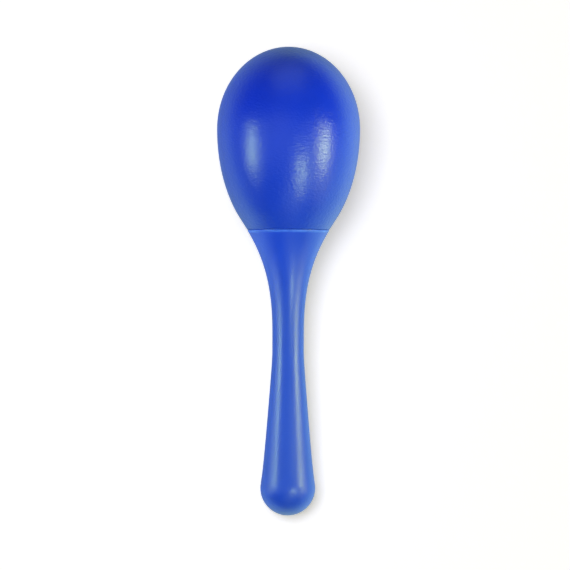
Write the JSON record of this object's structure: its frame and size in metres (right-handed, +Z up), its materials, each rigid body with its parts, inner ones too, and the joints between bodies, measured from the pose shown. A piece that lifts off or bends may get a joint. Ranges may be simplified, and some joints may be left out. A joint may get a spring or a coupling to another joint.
{
  "type": "egg shaker",
  "caption": "Hollow moulded-plastic egg-shaped shaker head with loose steel shot, bonded to a long hollow handle that flares to meet it and ends in a round knob.",
  "frame": {"origin": "middle of the bounding box, on the surface that the shaker lies on", "axes": "+Y along the shaker, from the knob towards the head; +Z up. The axis of the shaker leans up by 7.2 degrees towards the head, because it rests on the head and the knob"},
  "size_m": [0.0626, 0.2036, 0.0631],
  "materials": {
    "head_plastic": "satin-gloss blue moulded plastic with a faint orange-peel grain",
    "handle_plastic": "satin-gloss blue moulded plastic with a faint orange-peel grain",
    "plug_plastic": "matt natural white moulded plastic",
    "adhesive": "cured amber adhesive",
    "steel": "tumbled steel shot"
  },
  "bodies": {
    "shaker": {"head_shell": "head_plastic", "handle": "handle_plastic", "neck_plug": "plug_plastic", "adhesive_ring": "adhesive"},
    "shot_01": {"shot_01": "steel"},
    "shot_02": {"shot_02": "steel"},
    "shot_03": {"shot_03": "steel"},
    "shot_04": {"shot_04": "steel"},
    "shot_05": {"shot_05": "steel"},
    "shot_06": {"shot_06": "steel"},
    "shot_07": {"shot_07": "steel"},
    "shot_08": {"shot_08": "steel"},
    "shot_09": {"shot_09": "steel"},
    "shot_10": {"shot_10": "steel"},
    "shot_11": {"shot_11": "steel"},
    "shot_12": {"shot_12": "steel"},
    "shot_13": {"shot_13": "steel"},
    "shot_14": {"shot_14": "steel"},
    "shot_15": {"shot_15": "steel"},
    "shot_16": {"shot_16": "steel"},
    "shot_17": {"shot_17": "steel"},
    "shot_18": {"shot_18": "steel"},
    "shot_19": {"shot_19": "steel"},
    "shot_20": {"shot_20": "steel"},
    "shot_21": {"shot_21": "steel"},
    "shot_22": {"shot_22": "steel"},
    "shot_23": {"shot_23": "steel"},
    "shot_24": {"shot_24": "steel"},
    "shot_25": {"shot_25": "steel"},
    "shot_26": {"shot_26": "steel"},
    "shot_27": {"shot_27": "steel"},
    "shot_28": {"shot_28": "steel"},
    "shot_29": {"shot_29": "steel"},
    "shot_30": {"shot_30": "steel"},
    "shot_31": {"shot_31": "steel"},
    "shot_32": {"shot_32": "steel"},
    "shot_33": {"shot_33": "steel"},
    "shot_34": {"shot_34": "steel"},
    "shot_35": {"shot_35": "steel"},
    "shot_36": {"shot_36": "steel"},
    "shot_37": {"shot_37": "steel"}
  },
  "joints": [
    {"name": "shot_01_rattle", "type": "slide", "parent": "shaker", "child": "shot_01", "axis": [0, 0, 1], "range_m": [0, 0.0482]},
    {"name": "shot_02_rattle", "type": "slide", "parent": "shaker", "child": "shot_02", "axis": [0, 0, 1], "range_m": [0, 0.0494]},
    {"name": "shot_03_rattle", "type": "slide", "parent": "shaker", "child": "shot_03", "axis": [0, 0, 1], "range_m": [0, 0.0502]},
    {"name": "shot_04_rattle", "type": "slide", "parent": "shaker", "child": "shot_04", "axis": [0, 0, 1], "range_m": [0, 0.0506]},
    {"name": "shot_05_rattle", "type": "slide", "parent": "shaker", "child": "shot_05", "axis": [0, 0, 1], "range_m": [0, 0.0501]},
    {"name": "shot_06_rattle", "type": "slide", "parent": "shaker", "child": "shot_06", "axis": [0, 0, 1], "range_m": [0, 0.0515]},
    {"name": "shot_07_rattle", "type": "slide", "parent": "shaker", "child": "shot_07", "axis": [0, 0, 1], "range_m": [0, 0.0525]},
    {"name": "shot_08_rattle", "type": "slide", "parent": "shaker", "child": "shot_08", "axis": [0, 0, 1], "range_m": [0, 0.0531]},
    {"name": "shot_09_rattle", "type": "slide", "parent": "shaker", "child": "shot_09", "axis": [0, 0, 1], "range_m": [0, 0.053]},
    {"name": "shot_10_rattle", "type": "slide", "parent": "shaker", "child": "shot_10", "axis": [0, 0, 1], "range_m": [0, 0.0508]},
    {"name": "shot_11_rattle", "type": "slide", "parent": "shaker", "child": "shot_11", "axis": [0, 0, 1], "range_m": [0, 0.0524]},
    {"name": "shot_12_rattle", "type": "slide", "parent": "shaker", "child": "shot_12", "axis": [0, 0, 1], "range_m": [0, 0.0536]},
    {"name": "shot_13_rattle", "type": "slide", "parent": "shaker", "child": "shot_13", "axis": [0, 0, 1], "range_m": [0, 0.0543]},
    {"name": "shot_14_rattle", "type": "slide", "parent": "shaker", "child": "shot_14", "axis": [0, 0, 1], "range_m": [0, 0.0546]},
    {"name": "shot_15_rattle", "type": "slide", "parent": "shaker", "child": "shot_15", "axis": [0, 0, 1], "range_m": [0, 0.0542]},
    {"name": "shot_16_rattle", "type": "slide", "parent": "shaker", "child": "shot_16", "axis": [0, 0, 1], "range_m": [0, 0.0503]},
    {"name": "shot_17_rattle", "type": "slide", "parent": "shaker", "child": "shot_17", "axis": [0, 0, 1], "range_m": [0, 0.0522]},
    {"name": "shot_18_rattle", "type": "slide", "parent": "shaker", "child": "shot_18", "axis": [0, 0, 1], "range_m": [0, 0.0536]},
    {"name": "shot_19_rattle", "type": "slide", "parent": "shaker", "child": "shot_19", "axis": [0, 0, 1], "range_m": [0, 0.0545]},
    {"name": "shot_20_rattle", "type": "slide", "parent": "shaker", "child": "shot_20", "axis": [0, 0, 1], "range_m": [0, 0.055]},
    {"name": "shot_21_rattle", "type": "slide", "parent": "shaker", "child": "shot_21", "axis": [0, 0, 1], "range_m": [0, 0.055]},
    {"name": "shot_22_rattle", "type": "slide", "parent": "shaker", "child": "shot_22", "axis": [0, 0, 1], "range_m": [0, 0.0542]},
    {"name": "shot_23_rattle", "type": "slide", "parent": "shaker", "child": "shot_23", "axis": [0, 0, 1], "range_m": [0, 0.0508]},
    {"name": "shot_24_rattle", "type": "slide", "parent": "shaker", "child": "shot_24", "axis": [0, 0, 1], "range_m": [0, 0.0524]},
    {"name": "shot_25_rattle", "type": "slide", "parent": "shaker", "child": "shot_25", "axis": [0, 0, 1], "range_m": [0, 0.0536]},
    {"name": "shot_26_rattle", "type": "slide", "parent": "shaker", "child": "shot_26", "axis": [0, 0, 1], "range_m": [0, 0.0543]},
    {"name": "shot_27_rattle", "type": "slide", "parent": "shaker", "child": "shot_27", "axis": [0, 0, 1], "range_m": [0, 0.0546]},
    {"name": "shot_28_rattle", "type": "slide", "parent": "shaker", "child": "shot_28", "axis": [0, 0, 1], "range_m": [0, 0.0542]},
    {"name": "shot_29_rattle", "type": "slide", "parent": "shaker", "child": "shot_29", "axis": [0, 0, 1], "range_m": [0, 0.0501]},
    {"name": "shot_30_rattle", "type": "slide", "parent": "shaker", "child": "shot_30", "axis": [0, 0, 1], "range_m": [0, 0.0515]},
    {"name": "shot_31_rattle", "type": "slide", "parent": "shaker", "child": "shot_31", "axis": [0, 0, 1], "range_m": [0, 0.0525]},
    {"name": "shot_32_rattle", "type": "slide", "parent": "shaker", "child": "shot_32", "axis": [0, 0, 1], "range_m": [0, 0.0531]},
    {"name": "shot_33_rattle", "type": "slide", "parent": "shaker", "child": "shot_33", "axis": [0, 0, 1], "range_m": [0, 0.053]},
    {"name": "shot_34_rattle", "type": "slide", "parent": "shaker", "child": "shot_34", "axis": [0, 0, 1], "range_m": [0, 0.0482]},
    {"name": "shot_35_rattle", "type": "slide", "parent": "shaker", "child": "shot_35", "axis": [0, 0, 1], "range_m": [0, 0.0494]},
    {"name": "shot_36_rattle", "type": "slide", "parent": "shaker", "child": "shot_36", "axis": [0, 0, 1], "range_m": [0, 0.0502]},
    {"name": "shot_37_rattle", "type": "slide", "parent": "shaker", "child": "shot_37", "axis": [0, 0, 1], "range_m": [0, 0.0506]}
  ]
}
